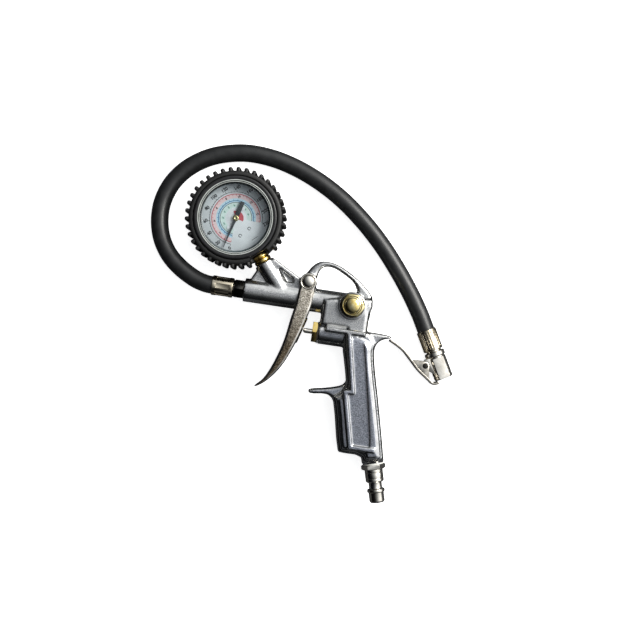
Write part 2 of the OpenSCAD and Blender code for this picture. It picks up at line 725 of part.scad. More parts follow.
module inlet_plug() color("#d2d4d5") along_inlet() difference() {
  union() {
    translate([0, 0, 0.8]) hexagon(14.4, 3.4);
    translate([0, 0, -9]) cylinder(r = 5, h = 11);
    translate([0, 0, 4]) cylinder(r = 6.2, h = 9);
    translate([0, 0, 12]) cylinder(r = 4.5, h = 6);
    translate([0, 0, 17.6]) cylinder(r = 6, h = 2.3);
    translate([0, 0, 19.5]) cylinder(r = nose_d / 2, h = nose_len + 0.4);
    translate([0, 0, 19.9 + nose_len]) cylinder(r1 = nose_d / 2, r2 = nose_d / 2 - 1, h = 1.2);
  }
  translate([0, 0, -10]) cylinder(r = 2.8, h = 50);
}

module inlet_seal() color("#d8d8d4") along_inlet() ring(7, 5.05, 0.8);

gun_body();
trigger();
trigger_pin();
gland_nut();
gland_washer();
stem_o_ring();
valve_stem();
valve_poppet();
poppet_seal();
valve_spring();
bleed_housing();
bleed_washer();
bleed_button();
bleed_o_ring();
bleed_spring();
gauge_stem();
gauge_case();
gauge_boot();
gauge_bezel();
gauge_lens();
lens_gasket();
gauge_dial();
dial_screws();
pointer();
pinion();
sector_gear();
movement_plate_front();
movement_plate_back();
plate_pillars();
bourdon_tube();
tube_tip();
movement_link();
hairspring();
hose_fitting_front();
ferrule_front();
hose();
ferrule_rear();
hose_fitting_rear();
chuck_body();
chuck_seal();
chuck_depressor();
chuck_lever();
chuck_lever_pin();
chuck_spring();
inlet_plug();
inlet_seal();
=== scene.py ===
# %% [markdown]
# # A pistol-grip tyre inflator
#
# The tool lies on its side on a pale table, dial up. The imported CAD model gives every
# place and size. This script gives the looks: castings with soft edges, a ribbed rubber
# boot, a printed dial, crimped hose ends and a finish for every piece.

# %% Load the frame
import json
import math

import bpy
from mathutils import Matrix, Vector


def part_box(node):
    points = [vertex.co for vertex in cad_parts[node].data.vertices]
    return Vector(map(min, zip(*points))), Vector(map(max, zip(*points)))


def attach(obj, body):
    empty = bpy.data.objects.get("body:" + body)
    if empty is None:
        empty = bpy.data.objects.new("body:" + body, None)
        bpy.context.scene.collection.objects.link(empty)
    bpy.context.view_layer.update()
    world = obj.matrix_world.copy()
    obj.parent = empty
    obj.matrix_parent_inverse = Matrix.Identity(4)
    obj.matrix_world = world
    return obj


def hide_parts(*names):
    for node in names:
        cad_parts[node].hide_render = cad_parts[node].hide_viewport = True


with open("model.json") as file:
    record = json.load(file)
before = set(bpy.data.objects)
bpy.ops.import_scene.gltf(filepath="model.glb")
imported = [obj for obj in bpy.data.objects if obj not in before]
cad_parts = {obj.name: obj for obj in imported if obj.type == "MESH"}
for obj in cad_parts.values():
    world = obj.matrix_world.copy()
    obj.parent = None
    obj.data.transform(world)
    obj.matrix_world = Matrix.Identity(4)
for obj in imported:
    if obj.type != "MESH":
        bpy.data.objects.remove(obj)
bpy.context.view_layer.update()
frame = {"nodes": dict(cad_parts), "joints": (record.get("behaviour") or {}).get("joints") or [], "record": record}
nodes = frame["nodes"]
MM = 0.001

# %% [markdown]
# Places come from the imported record. The table mount lies under the middle of the dial,
# the two other mounts give the lines of the inlet and of the chuck, and the front
# fitting's box gives the barrel's line. The CAD drawing counts its lengths from the
# middle of the barrel's front face, and `at` turns such a point into one of this frame.

# %% Places
mounts = {m["name"]: m for m in frame["record"]["mounts"]}
joints = {j["name"]: j for j in frame["joints"]}
BARREL_Z = 13 * MM
fitting_low, fitting_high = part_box("hose_fitting_front")
DRAWING_ZERO = Vector((fitting_low.x + 21.9 * MM, (fitting_low.y + fitting_high.y) / 2, 0))
GAUGE = Vector(mounts["table"]["pos_m"])
STEM_TURN = math.radians(-49.3)
CHUCK_LEAN = math.radians(29)
INLET_LEAN = math.radians(15)


def at(x, y, z=13):
    """A point of the CAD drawing, in millimetres, as a point of this frame in metres."""
    return DRAWING_ZERO + Vector((x, y, z)) * MM


PIVOT = Vector(joints["trigger_pivot"]["pos_m"])
BLEED = at(74, 0, 23)
GLAND = at(54, -21.3)
CHUCK = at(126.8, -9, 7)
INLET = at(103.8, -103.4)
print("gauge centre", [round(v, 4) for v in GAUGE], "chuck", [round(v, 4) for v in CHUCK])

# %% [markdown]
# ## Camera
# A catalogue picture looks straight down on the tool, turned a little so that the
# barrel falls towards the right. A long lens from most of a metre away keeps the sides
# of the grip and of the boot nearly upright.

# %% Camera
CAMERA_TURN = math.radians(8.5)
CAMERA_AT = Vector((19.29, 12.25, 813)) * MM
CAMERA_LENS = 66.2
bpy.ops.object.select_all(action="DESELECT")
bpy.ops.object.camera_add(location=CAMERA_AT, rotation=(0, 0, CAMERA_TURN))
camera = bpy.context.object
camera.name = "camera"
camera.data.lens = CAMERA_LENS
camera.data.sensor_width = 36
camera.data.clip_start = 0.05
bpy.context.scene.camera = camera
print("camera height", CAMERA_AT.z, "m")

# %% [markdown]
# ## Hose
# The hose is 12 mm air hose of black rubber. It leaves the barrel, loops round the gauge
# and runs to the chuck. A curve with a round section is the natural way to draw it: the
# curve is the hose's centreline, so its length can be measured. The points are those of
# the CAD route, and a Catmull-Rom curve joins them without a kink.

# %% Hose
HOSE_D = 12
ROUTE = [
    (-22, 0, 13), (-27, 0.4, 13), (-35, 2.8, 12.7), (-46, 9, 12), (-55, 17, 10.8),
    (-61.5, 27.5, 9.2), (-64.8, 40, 7.6), (-64.4, 53, 6.5), (-59.4, 66.4, 6.1),
    (-49.8, 78, 6), (-36, 87, 6), (-19.5, 92, 6), (-4, 93, 6), (14, 90.4, 6),
    (34, 83.6, 6), (54, 73, 6), (72, 59.6, 6), (87, 45.6, 6), (100, 30.8, 6),
    (111.5, 15.8, 6.2), (120.6, 2, 6.8), (124, -4, 7), (126.8, -9, 7),
]
STEPS = 6


def on_curve(a, b, c, d, t):
    """A point between b and c on the smooth curve through four points."""
    return 0.5 * (2 * b + (c - a) * t + (2 * a - 5 * b + 4 * c - d) * t**2
                  + (3 * b - a - 3 * c + d) * t**3)


def smooth_line(points):
    """Points along a Catmull-Rom curve through every point of a list."""
    last = len(points) - 1
    line = [on_curve(points[max(i - 1, 0)], points[i], points[i + 1], points[min(i + 2, last)],
                     k / STEPS)
            for i in range(last) for k in range(STEPS)]
    return line + [points[last]]


def line_curve(name, dimensions, line):
    """A curve object along a list of points."""
    data = bpy.data.curves.new(name, "CURVE")
    data.dimensions = dimensions
    spline = data.splines.new("POLY")
    spline.points.add(len(line) - 1)
    for point, place in zip(spline.points, line):
        point.co = (*place, 1)
        point.radius = 1
    spline.use_smooth = True
    new = bpy.data.objects.new(name, data)
    bpy.context.scene.collection.objects.link(new)
    return new


hose_line = smooth_line([at(*p) for p in ROUTE])
hose = line_curve("air_hose", "3D", hose_line)
hose.data.bevel_depth = HOSE_D / 2 * MM
hose.data.bevel_resolution = 8
hose.data.use_fill_caps = True

# %% [markdown]
# ## Working by operators
# A new piece starts as a primitive at the origin, standing on +Z. It is shaped in edit
# mode, finished with modifiers, and then its place is applied, so that the object ends
# at the origin and its mesh holds its place. Nothing else may be selected meanwhile.


# %% Selection and places
def only(piece):
    """Selects one object alone and makes it active."""
    bpy.ops.object.select_all(action="DESELECT")
    piece.select_set(True)
    bpy.context.view_layer.objects.active = piece


def edit(piece):
    """Opens one object in edit mode with everything selected."""
    only(piece)
    bpy.ops.object.mode_set(mode="EDIT")
    bpy.ops.mesh.select_all(action="SELECT")


def done():
    """Goes back to object mode."""
    bpy.ops.object.mode_set(mode="OBJECT")


def settle(piece, place):
    """Applies a place to the mesh, so that the object is left at the origin."""
    only(piece)
    piece.matrix_world = place
    bpy.ops.object.transform_apply(location=True, rotation=True, scale=True)
    return piece


def outward(piece):
    """Merges doubles and turns every face outwards."""
    edit(piece)
    bpy.ops.mesh.remove_doubles(threshold=1e-6)
    bpy.ops.mesh.normals_make_consistent(inside=False)
    done()
    return piece


def finish_edges(piece, width=0.0, segments=2, angle=30):
    """Rounds the sharp edges by a real width in millimetres and shades the rest smooth."""
    only(piece)
    if width:
        bevel = piece.modifiers.new("edge", "BEVEL")
        bevel.width = width * MM
        bevel.segments = segments
        bevel.limit_method = "ANGLE"
        bevel.angle_limit = math.radians(angle)
        bevel.harden_normals = False
        bpy.ops.object.modifier_apply(modifier="edge")
    bpy.ops.object.shade_smooth_by_angle(angle=math.radians(angle + 8))
    return piece


def boolean(piece, tool, operation):
    """Cuts or trims one piece by another, which is then gone."""
    only(piece)
    cut = piece.modifiers.new("cut", "BOOLEAN")
    cut.operation = operation
    cut.object = tool
    cut.solver = "EXACT"
    bpy.ops.object.modifier_apply(modifier="cut")
    bpy.data.objects.remove(tool)
    return piece


def upright(place, turn=0.0):
    """Stands a piece up at a point."""
    return Matrix.Translation(place) @ Matrix.Rotation(turn, 4, "Z")


def lying(place, direction):
    """Lays a piece's +Z along a level direction, with its +X pointing down."""
    along = Vector((math.cos(direction), math.sin(direction), 0))
    down = Vector((0, 0, -1))
    turn = Matrix((down, along.cross(down), along)).transposed().to_4x4()
    return Matrix.Translation(place) @ turn


ALONG_BARREL = lying(at(0, 0), 0)
ALONG_STEM = lying(GAUGE + Vector((0, 0, BARREL_Z)), STEM_TURN)
ALONG_CHUCK = lying(CHUCK, CHUCK_LEAN - math.pi / 2)
ALONG_INLET = lying(INLET, INLET_LEAN - math.pi / 2)
print("places ready")

# %% [markdown]
# ## Turned pieces
# Fittings, ferrules, rings and buttons come off a lathe. In Blender a lathe can be a
# spun outline or a ring that is extruded and resized step by step. The second is used
# here, because each step reads like a cut on the lathe: a radius and a height in
# millimetres. Going up the outside and back down the inside gives a bore.


# %% Lathe
def turned(name, profile, place, sides=96, edge=0.15, ring=False):
    """A turned piece, from (radius, height) steps in millimetres. Its two ends are filled,
    or bridged to each other when the piece is a ring."""
    bpy.ops.object.select_all(action="DESELECT")
    r, z = profile[0]
    bpy.ops.mesh.primitive_circle_add(vertices=sides, radius=r * MM,
                                      fill_type="NOTHING" if ring else "NGON",
                                      location=(0, 0, z * MM))
    piece = bpy.context.object
    piece.name = name
    bpy.ops.object.transform_apply(location=True, rotation=True, scale=True)
    edit(piece)
    for r1, z1 in profile[1:]:
        bpy.ops.mesh.extrude_region_move(
            TRANSFORM_OT_translate={"value": (0, 0, (z1 - z) * MM)})
        bpy.ops.transform.resize(value=(r1 / r, r1 / r, 1), center_override=(0, 0, z1 * MM))
        r, z = r1, z1
    if ring:
        bpy.ops.mesh.select_all(action="DESELECT")
        bpy.ops.mesh.select_non_manifold()
        bpy.ops.mesh.bridge_edge_loops()
    done()
    return settle(finish_edges(outward(piece), edge), place)


def dome(radius, height, low, steps=7):
    """Profile steps of a shallow dome over a rim of that radius."""
    return [(max(radius * math.cos(a), 0.05), low + height * math.sin(a))
            for a in (math.pi / 2 * k / steps for k in range(steps + 1))]


def hexed(name, af, low, high, place, chamfer=0.5, bore=0.0, turn=0.0):
    """A hexagon nut whose corners are turned off in a cone, as on a real nut."""
    corner = af / 2 / math.cos(math.pi / 6)
    middle = Matrix.Identity(4)
    body = turned(name, [(corner, low), (corner, high)], middle, sides=6, edge=0)
    cone = turned(name + "_cone", [
        (corner - chamfer * 1.7, low), (corner + 0.02, low + chamfer),
        (corner + 0.02, high - chamfer), (corner - chamfer * 1.7, high)], middle, edge=0)
    boolean(body, cone, "INTERSECT")
    if bore:
        drill = turned(name + "_drill", [(bore, low - 1), (bore, high + 1)], middle, edge=0)
        boolean(body, drill, "DIFFERENCE")
    finish_edges(body, 0.12, angle=25)
    settle(body, Matrix.Rotation(turn, 4, "Z"))
    return settle(body, place)


def block(name, size, centre, edge=0.3, segments=3):
    """A bevelled block, by size and centre in millimetres, left at the origin's frame."""
    bpy.ops.object.select_all(action="DESELECT")
    bpy.ops.mesh.primitive_cube_add(size=1, location=Vector(centre) * MM)
    piece = bpy.context.object
    piece.name = name
    piece.scale = Vector(size) * MM
    bpy.ops.object.transform_apply(location=True, rotation=True, scale=True)
    return finish_edges(piece, edge, segments)


def ring_of(piece, count, skip=()):
    """Copies a piece round the +Z axis, each copy with its own mesh, and joins them."""
    copies = []
    for k in range(count):
        if k in skip:
            continue
        twin = bpy.data.objects.new(f"{piece.name}_{k}", piece.data.copy())
        bpy.context.scene.collection.objects.link(twin)
        settle(twin, Matrix.Rotation(math.tau * k / count, 4, "Z"))
        copies.append(twin)
    bpy.data.objects.remove(piece)
    return joined(copies)


def joined(pieces):
    """Joins several meshes into the first."""
    if len(pieces) == 1:
        return pieces[0]
    bpy.ops.object.select_all(action="DESELECT")
    for piece in pieces:
        piece.select_set(True)
    bpy.context.view_layer.objects.active = pieces[0]
    bpy.ops.object.join()
    return bpy.context.object


print("lathe ready")

# %% [markdown]
# ## Finishes
# Each finish is a small node graph that is named after the real process. Colours are
# written as sRGB hex values, the way a colour card gives them, and turned to the
# linear values that a shader needs. Patterns read Object coordinates, which are metres
# here, so a scale of one over the grain's size in metres gives that real grain.


# %% Node helpers
def colour(code):
    """A linear RGBA colour from an sRGB hex value."""
    parts = [int(code[i:i + 2], 16) / 255 for i in (1, 3, 5)]
    return (*[p / 12.92 if p <= 0.04045 else ((p + 0.055) / 1.055) ** 2.4 for p in parts], 1)


def add(tree, kind, links=(), **settings):
    """Adds one node. Settings are properties or input values, links are (input, output)."""
    new = tree.nodes.new("ShaderNode" + kind)
    for key, value in settings.items():
        label = key.replace("_", " ")
        names = [s.name for s in new.inputs]
        match = next((n for n in names if n.lower() == label.lower()), None)
        if match and not hasattr(new, key):
            new.inputs[match].default_value = value
        else:
            setattr(new, key, value)
    for socket, output in links:
        tree.links.new(output, new.inputs[socket])
    return new


def blank(name, **surface):
    """A material with a Principled surface and its Object coordinates."""
    material = bpy.data.materials.new(name)
    material.use_nodes = True
    tree = material.node_tree
    tree.nodes.clear()
    shader = add(tree, "BsdfPrincipled", **surface)
    add(tree, "OutputMaterial", [("Surface", shader.outputs["BSDF"])])
    where = add(tree, "TexCoord")
    return material, tree, shader, where.outputs["Object"]


def ramp(tree, source, stops):
    """A colour ramp: (position, hex colour) stops read by a grey value."""
    new = add(tree, "ValToRGB", [("Fac", source)])
    elements = new.color_ramp.elements
    while len(elements) < len(stops):
        elements.new(0.5)
    for element, (position, code) in zip(elements, stops):
        element.position = position
        element.color = colour(code)
    return new.outputs["Color"]


def grain(tree, where, size, detail=3, rough=0.55):
    """Noise whose grains are about that many millimetres across."""
    new = add(tree, "TexNoise", [("Vector", where)], Scale=1 / (size * MM), Detail=detail,
              Roughness=rough)
    return new.outputs["Fac"]


def roughen(tree, shader, source, low, high):
    """Lets a pattern vary the roughness between two values."""
    span = add(tree, "MapRange", [("Value", source)], To_Min=low, To_Max=high)
    tree.links.new(span.outputs["Result"], shader.inputs["Roughness"])


def bump(tree, shader, source, depth, strength=1.0):
    """Raises a pattern by a real depth in millimetres."""
    new = add(tree, "Bump", [("Height", source)], Strength=strength, Distance=depth * MM)
    tree.links.new(new.outputs["Normal"], shader.inputs["Normal"])
    return new


print("node helpers ready")

# %% [markdown]
# ### Tumbled die-cast aluminium
# The body is cast in a die and tumbled with stones. The flats keep the die's fine grain
# and look dull. The rounded edges, which the stones reach, are nearly polished. The
# object's own surface direction tells flats from edges, so no mask has to be painted.


# %% Cast finishes
def flat_mask(tree, low, high):
    """1 on faces that lie level, 0 on those that turn away, from the surface direction."""
    normal = tree.nodes.new("ShaderNodeTexCoord")
    parts = add(tree, "SeparateXYZ", [("Vector", normal.outputs["Normal"])])
    level = add(tree, "Math", [(0, parts.outputs["Z"])], operation="ABSOLUTE")
    span = add(tree, "MapRange", [("Value", level.outputs["Value"])], From_Min=low, From_Max=high)
    return span.outputs["Result"]


MIX_A, MIX_B, MIX_RESULT = 6, 7, 2  # the colour sockets of a Mix node


def blended(tree, factor, a, b):
    """One colour where the factor is 0, another where it is 1."""
    new = add(tree, "Mix", data_type="RGBA")
    tree.links.new(factor, new.inputs[0])
    for index, value in ((MIX_A, a), (MIX_B, b)):
        if isinstance(value, str):
            new.inputs[index].default_value = colour(value)
        else:
            tree.links.new(value, new.inputs[index])
    return new.outputs[MIX_RESULT]


def combined(tree, operation, a, b):
    """Two grey values joined by one sum."""
    new = add(tree, "Math", operation=operation)
    for index, value in enumerate((a, b)):
        if isinstance(value, (int, float)):
            new.inputs[index].default_value = value
        else:
            tree.links.new(value, new.inputs[index])
    return new.outputs["Value"]


def cast_metal(name, dull, bright, grain_mm, depth, polish, matt, shade_span, shade_tint):
    """A casting: dull grained flats and brighter, smoother rounded edges. From the first
    to the second of two Y places, in metres, a tint of painted shade comes in, so the lower
    part is darker."""
    material, tree, shader, where = blank(name, Metallic=1.0, Roughness=matt)
    flats = flat_mask(tree, 0.93, 0.995)
    speckle = grain(tree, where, grain_mm, 4, 0.7)
    clouds = grain(tree, where, 9, 2)
    dull_face = ramp(tree, speckle, [(0.36, dull[0]), (0.5, dull[1]), (0.66, dull[2])])
    worn = ramp(tree, clouds, [(0.3, bright[0]), (0.7, bright[1])])
    base = blended(tree, flats, worn, dull_face)
    # Painted shade: from the first Y place a tint multiplies the colour, fully at the second and most on the
    # flats, so the lower part is darker.
    spot = add(tree, "SeparateXYZ", [(0, where)])
    shade_fade = add(tree, "MapRange", [("Value", spot.outputs["Y"])], From_Min=shade_span[0],
                  From_Max=shade_span[1])
    shaded_base = add(tree, "Mix", [(MIX_A, base)], data_type="RGBA", blend_type="MULTIPLY")
    shaded_base.inputs[0].default_value = 1.0
    shaded_base.inputs[MIX_B].default_value = colour(shade_tint)
    share = combined(tree, "MULTIPLY", shade_fade.outputs["Result"],
                     combined(tree, "ADD", flats, 0.25))
    tree.links.new(blended(tree, share, base, shaded_base.outputs[MIX_RESULT]),
                   shader.inputs["Base Color"])
    dullness = combined(tree, "MULTIPLY", flats, combined(tree, "ADD", speckle, 0.45))
    roughen(tree, shader, dullness, polish, matt)
    relief = combined(tree, "ADD", combined(tree, "MULTIPLY", flats, 0.85), 0.15)
    bump(tree, shader, combined(tree, "MULTIPLY", speckle, relief), depth)
    return material


# The body's painted shade makes the grip darker and a little bluish. The trigger's makes it darker towards the
# bottom.
cast_body_metal = cast_metal("tumbled_cast_aluminium", ("#6f7276", "#96989b", "#c4c5c6"),
                             ("#b0b0af", "#dededc"), 0.7, 0.16, 0.2, 0.5,
                             (at(0, -18, 0).y, at(0, -24, 0).y), "#d3d7e2")
cast_trigger_metal = cast_metal("nickelled_cast_zinc", ("#37322c", "#8d877c", "#f0ebe1"),
                                ("#a5a19a", "#f0ede6"), 0.6, 0.3, 0.2, 0.44,
                                (at(0, 0, 0).y, at(0, -42, 0).y), "#8f8578")
print("cast finishes ready")

# %% [markdown]
# ### Plated, turned and pressed metal
# Brass fittings keep the fine rings that the lathe tool leaves. Nickel plate on steel
# is smoother and a little warm. Pressed steel is galvanised and shows faint clouds.


# %% Plate, brass and steel
def plain_metal(name, low, high, grain_mm, smooth, dull, depth=0.006):
    """A metal whose colour and gloss drift a little over its surface."""
    material, tree, shader, where = blank(name, Metallic=1.0, Roughness=smooth)
    clouds = grain(tree, where, grain_mm, 3)
    scratches = grain(tree, where, 0.5, 4, 0.7)
    tree.links.new(ramp(tree, clouds, [(0.3, low), (0.7, high)]), shader.inputs["Base Color"])
    roughen(tree, shader, combined(tree, "MULTIPLY", clouds, scratches), smooth, dull)
    bump(tree, shader, scratches, depth)
    return material


nickel_plate = plain_metal("bright_nickel_plate", "#c9c4ba", "#ebe7de", 6, 0.12, 0.34)
warm_plate = plain_metal("worn_nickel_plate", "#b1a68e", "#d6cdba", 7, 0.14, 0.36)
turned_brass = plain_metal("turned_brass", "#a8853c", "#d9c27c", 5, 0.12, 0.34)
pale_brass = plain_metal("polished_pale_brass", "#c9b168", "#f0e5b6", 5, 0.1, 0.26)
pressed_steel = plain_metal("zinc_plated_pressed_steel", "#8f8b83", "#cfcac0", 3, 0.2, 0.46, 0.012)
dark_plate = plain_metal("black_nickel_plate", "#2b2a29", "#4c4a46", 4, 0.16, 0.36)
spring_wire = plain_metal("drawn_spring_steel", "#9da1a5", "#d5d8da", 2, 0.2, 0.4)
phosphor_bronze = plain_metal("phosphor_bronze_tube", "#8a5a2c", "#c08a4c", 4, 0.22, 0.42)
print("metals ready")

# %% [markdown]
# ### Rubber, fibre and paint
# Moulded rubber is black but never pure black: it scatters a soft grey light from dust
# and bloom. The dial is printed matt enamel, and the case is baked stove enamel.


# %% Rubber and enamel
def dull_stuff(name, low, high, grain_mm, rough, depth, **surface):
    """A dielectric with a slightly mottled colour and a moulded grain."""
    material, tree, shader, where = blank(name, Roughness=rough, **surface)
    mottle = grain(tree, where, grain_mm * 6, 3)
    fine = grain(tree, where, grain_mm, 3, 0.65)
    tree.links.new(ramp(tree, mottle, [(0.3, low), (0.7, high)]), shader.inputs["Base Color"])
    roughen(tree, shader, fine, rough - 0.07, rough + 0.1)
    bump(tree, shader, fine, depth)
    return material


hose_rubber = dull_stuff("extruded_hose_rubber", "#1a1b1c", "#262728", 0.9, 0.36, 0.03)
boot_rubber = dull_stuff("moulded_boot_rubber", "#0b0b0b", "#161616", 0.7, 0.52, 0.03)
seal_rubber = dull_stuff("nitrile_seal_rubber", "#161616", "#222222", 0.5, 0.45, 0.01)
fibre_washer = dull_stuff("pressed_black_fibre", "#221e1b", "#38322c", 0.6, 0.7, 0.04)
thread_tape = dull_stuff("white_thread_seal", "#cfcfca", "#ecece8", 0.6, 0.6, 0.03)
case_enamel = dull_stuff("black_stove_enamel", "#161617", "#222224", 0.8, 0.28, 0.008)
dial_white = dull_stuff("matt_dial_enamel", "#e4e4e6", "#f1f1f2", 1.2, 0.6, 0.004)
print("rubber and enamel ready")


# %% Dial inks and lens
def ink(name, code):
    """A flat printing ink, with the faint density changes of pad printing."""
    lighter = "#" + "".join(f"{min(255, int(code[i:i + 2], 16) + 14):02x}" for i in (1, 3, 5))
    return dull_stuff(name, code, lighter, 0.4, 0.55, 0.002)


ink_black = ink("black_dial_ink", "#25262a")
ink_red = ink("red_dial_ink", "#c2505a")
ink_pink = ink("pink_dial_ink", "#eccdcd")
ink_blue = ink("blue_dial_ink", "#3f6f9c")
ink_pale_blue = ink("pale_blue_dial_ink", "#bcd9e6")
ink_green = ink("green_dial_ink", "#5f9480")
ink_pale_green = ink("pale_green_dial_ink", "#d3e3dc")
pointer_enamel = ink("pointer_enamel", "#2b2f33")


def clear_plastic(name, haze, through="#f4f7f8"):
    """A moulded polycarbonate window: see-through, with a gloss that grows at its edges."""
    material = bpy.data.materials.new(name)
    material.use_nodes = True
    tree = material.node_tree
    tree.nodes.clear()
    where = add(tree, "TexCoord").outputs["Object"]
    scuffs = grain(tree, where, 1.2, 4, 0.7)
    clear = add(tree, "BsdfTransparent", Color=colour(through))
    gloss = add(tree, "BsdfGlossy", Color=colour("#ffffff"))
    roughen(tree, gloss, scuffs, haze * 0.6, haze)
    # Faces seen from inside the plastic get no gloss, or they would shut the light in.
    edge = add(tree, "Fresnel", IOR=1.5)
    front = combined(tree, "SUBTRACT", 1.0, add(tree, "NewGeometry").outputs["Backfacing"])
    shine = combined(tree, "MULTIPLY", edge.outputs["Fac"], front)
    mixed = add(tree, "MixShader", [(0, shine), (1, clear.outputs["BSDF"]),
                                    (2, gloss.outputs["BSDF"])])
    add(tree, "OutputMaterial", [("Surface", mixed.outputs["Shader"])])
    return material


lens_plastic = clear_plastic("clear_polycarbonate", 0.08)
# Painted shade: the window's sloped edge lets the dial through with a grey tint, which darkens it.
slope_shade_plastic = clear_plastic("shaded_polycarbonate_edge", 0.2, "#b9bfc0")
# Painted highlight: pale opaque rings stand for the light caught in the clear window's moulded edge.
rim_highlight_plastic = dull_stuff("polycarbonate_rim_painted_highlight", "#a5aaa6", "#d0d4d0", 1.5, 0.16, 0.004,
                         Coat_Weight=0.4)
print("finishes:", len(bpy.data.materials))


# %% Giving a piece its finish and body
def dress(piece, material, body, slot, *stands_for):
    """Paints a piece, lets it ride on a body and hides the CAD nodes that it stands for."""
    piece.data.materials.clear()
    piece.data.materials.append(material)
    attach(piece, body)
    if stands_for:
        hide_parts(*stands_for)
    return piece


# %% [markdown]
# ## Castings
# The CAD body is sharp where its blocks and bars meet, but a casting never is: metal
# flows into every corner as a fillet. Copying the CAD mesh and voxel remeshing it melts
# the blocks into one skin, and a few rounds of smoothing then give the fillets. The
# voxel is under a millimetre, so the frame on the grip and the bores survive.


# %% Castings
def casting(name, node, voxel, rounds, most_faces):
    """A smooth cast skin made from a copy of a CAD node's mesh."""
    piece = bpy.data.objects.new(name, nodes[node].data.copy())
    bpy.context.scene.collection.objects.link(piece)
    outward(piece)
    only(piece)
    remesh = piece.modifiers.new("skin", "REMESH")
    remesh.mode = "VOXEL"
    remesh.voxel_size = voxel * MM
    bpy.ops.object.modifier_apply(modifier="skin")
    soften = piece.modifiers.new("soften", "CORRECTIVE_SMOOTH")
    soften.iterations = rounds
    soften.use_only_smooth = True
    bpy.ops.object.modifier_apply(modifier="soften")
    triangles = sum(len(p.vertices) - 2 for p in piece.data.polygons)
    if triangles > most_faces:
        thin = piece.modifiers.new("thin", "DECIMATE")
        thin.ratio = most_faces / triangles
        bpy.ops.object.modifier_apply(modifier="thin")
    bpy.ops.object.shade_smooth()
    print(name, "triangles", sum(len(p.vertices) - 2 for p in piece.data.polygons))
    return piece


body_cast = casting("cast_gun_body", "gun_body", 0.55, 4, 190000)
dress(body_cast, cast_body_metal, "gun", "cast_body", "gun_body")
trigger_cast = casting("cast_trigger", "trigger", 0.45, 4, 120000)
dress(trigger_cast, cast_trigger_metal, "trigger", "trigger_cast", "trigger")

# %% [markdown]
# ## Pivot rivet
# The trigger turns on a rivet with a polished domed head that sits in a thin collar. It
# is turned in two pieces, so that the dark line between head and collar is a real gap.

# %% Pivot rivet
RIVET = Vector((PIVOT.x, PIVOT.y, BARREL_Z + 10.9 * MM))
rivet = turned("pivot_rivet", [(4.2, -23.6), (4.6, -23.1), (4.6, -21.8), (2.5, -21.8),
                               (2.5, 0), (4.0, 0)] + dome(4.1, 1.7, 0.3), upright(RIVET))
dress(rivet, nickel_plate, "gun", "bright_plate", "trigger_pin")
collar = turned("trigger_rim", [(4.45, -0.3), (5.5, -0.3), (5.4, 0.25), (4.9, 0.45),
                                (4.5, 0.25)], upright(RIVET), ring=True)
dress(collar, nickel_plate, "trigger", "trigger_cast")
print("rivet at", [round(v, 4) for v in RIVET])

# %% [markdown]
# ## Bleed valve and gland nut
# The bleed valve is a brass hexagon with a chamfered crown, and its domed button sits in
# a round pocket. The dark line round the button is the pocket's real gap. The gland nut
# holds the packing of the trigger's stem.

# %% Bleed valve
BLEED_AF = 14.8
POCKET_R = 6.4
crown = hexed("bleed_housing_crown", BLEED_AF, 0.8, 5.4, upright(BLEED), chamfer=1.1,
              bore=POCKET_R, turn=math.pi / 6)
seat = turned("bleed_seat", [(1.9, -9), (5, -9), (5, 0.8), (6.5, 0.9), (6.5, 2.6), (3.6, 2.6),
                             (3.6, -4.5), (1.9, -4.5)], upright(BLEED), ring=True)
housing = joined([crown, seat])
dress(housing, pale_brass, "gun", "brass_turned", "bleed_housing")
button = turned("bleed_button_dome", [
    (2.7, -11.6), (2.7, -10.8), (1.6, -10.8), (1.6, 5), (5.9, 5), (5.9, 5.6), (5.75, 5.8),
    (5.5, 5.85)] + dome(5.3, 1.95, 5.95), upright(BLEED))
dress(button, pale_brass, "bleed_button", "brass_turned", "bleed_button")
washer = turned("bleed_sealing_washer", [(5.1, 0), (8.2, 0), (8.4, 0.4), (8.2, 0.8), (5.1, 0.8)],
                upright(BLEED), ring=True)
dress(washer, fibre_washer, "gun", "fibre_washer", "bleed_washer")

# %% Gland nut
GLAND_AF = 13.6
along_gland = lying(GLAND, 0)
nut = hexed("gland_hexagon", GLAND_AF, -4.2, -0.8, along_gland, chamfer=0.55, bore=1.7,
            turn=math.pi / 6)
plug_end = turned("gland_thread", [(1.75, -0.9), (5.5, -0.9), (5.5, 5.9), (1.75, 5.9)],
                  along_gland, ring=True)
dress(joined([nut, plug_end]), turned_brass, "gun", "brass_turned", "gland_nut")
print("valves made")

# %% [markdown]
# ## Gauge
# The gauge is a steel case in a ribbed rubber boot. The boot is a turned cup and one rib
# that is copied round it. The ribs next to the brass stem are left out, and a window is
# cut there, because the stem has to pass.

# %% Boot
BOOT_R = 31.5
RIB_COUNT = 38
RIB_OUT = 2.5
STEM_GAP = math.radians(13)
stand = upright(GAUGE)
boot = turned("boot_cup", [
    (29.9, 0), (31.2, 0.5), (BOOT_R, 1.6), (BOOT_R, 25.2), (31.1, 26.5), (30.2, 27),
    (28.7, 27), (28.1, 26.4), (28.1, 2.4)], Matrix.Identity(4), sides=152)
window = block("boot_window", (9, 14, 14), (32.9, 0, 23.6), 0.8)
boot_hole = turned("boot_hole", [(6.3, 20), (6.3, 40)], lying(Vector((0, 0, BARREL_Z)), 0))
settle(window, Matrix.Rotation(STEM_TURN, 4, "Z"))
settle(boot_hole, Matrix.Rotation(STEM_TURN, 4, "Z"))
boolean(boot, window, "DIFFERENCE")
boolean(boot, boot_hole, "DIFFERENCE")
rib = block("boot_rib", (4.4, 2.9, 25.6), (BOOT_R + RIB_OUT - 2.2, 0, 13.4), 1.2, 4)
